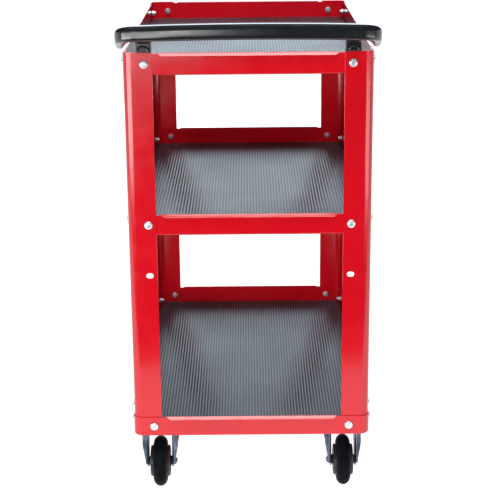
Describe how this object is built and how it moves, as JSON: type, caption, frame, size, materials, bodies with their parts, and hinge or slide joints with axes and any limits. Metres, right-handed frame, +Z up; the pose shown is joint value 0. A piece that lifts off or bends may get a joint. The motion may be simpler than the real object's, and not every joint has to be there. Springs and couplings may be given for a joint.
{
  "type": "rolling tool cart",
  "caption": "Open three-shelf steel tool cart on casters, with raised tray edges, non-slip liners and a push handle at one end.",
  "frame": {"origin": "on the floor under the middle of the cart's bounding box", "axes": "+Z up, +X across the cart, +Y from the push handle end towards the far end"},
  "size_m": [0.4144, 0.7865, 0.8335],
  "materials": {
    "red_powder_coat": "glossy red powder coat",
    "liner_rubber": "grey ribbed non-slip mat with a soft sheen",
    "handle_plastic": "satin black moulded plastic",
    "zinc_fasteners": "bright zinc plate",
    "caster_steel": "bright zinc-plated pressed steel",
    "tyre_rubber": "black rubber",
    "wheel_plastic": "black moulded plastic"
  },
  "bodies": {
    "cart": {"bottom_tray": "red_powder_coat", "middle_tray": "red_powder_coat", "top_tray": "red_powder_coat", "bottom_liner": "liner_rubber", "middle_liner": "liner_rubber", "top_liner": "liner_rubber", "upright_near_left": "red_powder_coat", "upright_near_right": "red_powder_coat", "upright_far_right": "red_powder_coat", "upright_far_left": "red_powder_coat", "push_handle": "handle_plastic", "end_bolt_bottom_near_left": "zinc_fasteners", "side_bolt_bottom_near_left": "zinc_fasteners", "end_bolt_middle_near_left": "zinc_fasteners", "side_bolt_middle_near_left": "zinc_fasteners", "end_bolt_top_near_left": "zinc_fasteners", "side_bolt_top_near_left": "zinc_fasteners", "end_bolt_bottom_near_right": "zinc_fasteners", "side_bolt_bottom_near_right": "zinc_fasteners", "end_bolt_middle_near_right": "zinc_fasteners", "side_bolt_middle_near_right": "zinc_fasteners", "end_bolt_top_near_right": "zinc_fasteners", "side_bolt_top_near_right": "zinc_fasteners", "end_bolt_bottom_far_right": "zinc_fasteners", "side_bolt_bottom_far_right": "zinc_fasteners", "end_bolt_middle_far_right": "zinc_fasteners", "side_bolt_middle_far_right": "zinc_fasteners", "end_bolt_top_far_right": "zinc_fasteners", "side_bolt_top_far_right": "zinc_fasteners", "end_bolt_bottom_far_left": "zinc_fasteners", "side_bolt_bottom_far_left": "zinc_fasteners", "end_bolt_middle_far_left": "zinc_fasteners", "side_bolt_middle_far_left": "zinc_fasteners", "end_bolt_top_far_left": "zinc_fasteners", "side_bolt_top_far_left": "zinc_fasteners", "swivel_plate_near_left": "caster_steel", "king_pin_near_left": "zinc_fasteners", "swivel_plate_near_right": "caster_steel", "king_pin_near_right": "zinc_fasteners", "fixed_bracket_far_left": "caster_steel", "axle_bolt_far_left": "zinc_fasteners", "axle_nut_far_left": "zinc_fasteners", "fixed_bracket_far_right": "caster_steel", "axle_bolt_far_right": "zinc_fasteners", "axle_nut_far_right": "zinc_fasteners"},
    "near_left_fork": {"fork_near_left": "caster_steel", "axle_bolt_near_left": "zinc_fasteners", "axle_nut_near_left": "zinc_fasteners"},
    "near_right_fork": {"fork_near_right": "caster_steel", "axle_bolt_near_right": "zinc_fasteners", "axle_nut_near_right": "zinc_fasteners"},
    "near_left_wheel": {"wheel_centre_near_left": "wheel_plastic", "tyre_near_left": "tyre_rubber"},
    "near_right_wheel": {"wheel_centre_near_right": "wheel_plastic", "tyre_near_right": "tyre_rubber"},
    "far_right_wheel": {"wheel_centre_far_right": "wheel_plastic", "tyre_far_right": "tyre_rubber"},
    "far_left_wheel": {"wheel_centre_far_left": "wheel_plastic", "tyre_far_left": "tyre_rubber"}
  },
  "joints": [
    {"name": "near_left_swivel", "type": "hinge", "parent": "cart", "child": "near_left_fork", "pos_m": [-0.161, -0.21358, 0.105], "axis": [0, 0, 1], "continuous": true},
    {"name": "near_right_swivel", "type": "hinge", "parent": "cart", "child": "near_right_fork", "pos_m": [0.161, -0.21358, 0.105], "axis": [0, 0, 1], "continuous": true},
    {"name": "near_left_wheel_spin", "type": "hinge", "parent": "near_left_fork", "child": "near_left_wheel", "pos_m": [-0.161, -0.24358, 0.0445], "axis": [1, 0, 0], "continuous": true},
    {"name": "near_right_wheel_spin", "type": "hinge", "parent": "near_right_fork", "child": "near_right_wheel", "pos_m": [0.161, -0.24358, 0.0445], "axis": [1, 0, 0], "continuous": true},
    {"name": "far_right_wheel_spin", "type": "hinge", "parent": "cart", "child": "far_right_wheel", "pos_m": [0.161, 0.31142, 0.0445], "axis": [1, 0, 0], "continuous": true},
    {"name": "far_left_wheel_spin", "type": "hinge", "parent": "cart", "child": "far_left_wheel", "pos_m": [-0.161, 0.31142, 0.0445], "axis": [1, 0, 0], "continuous": true}
  ]
}
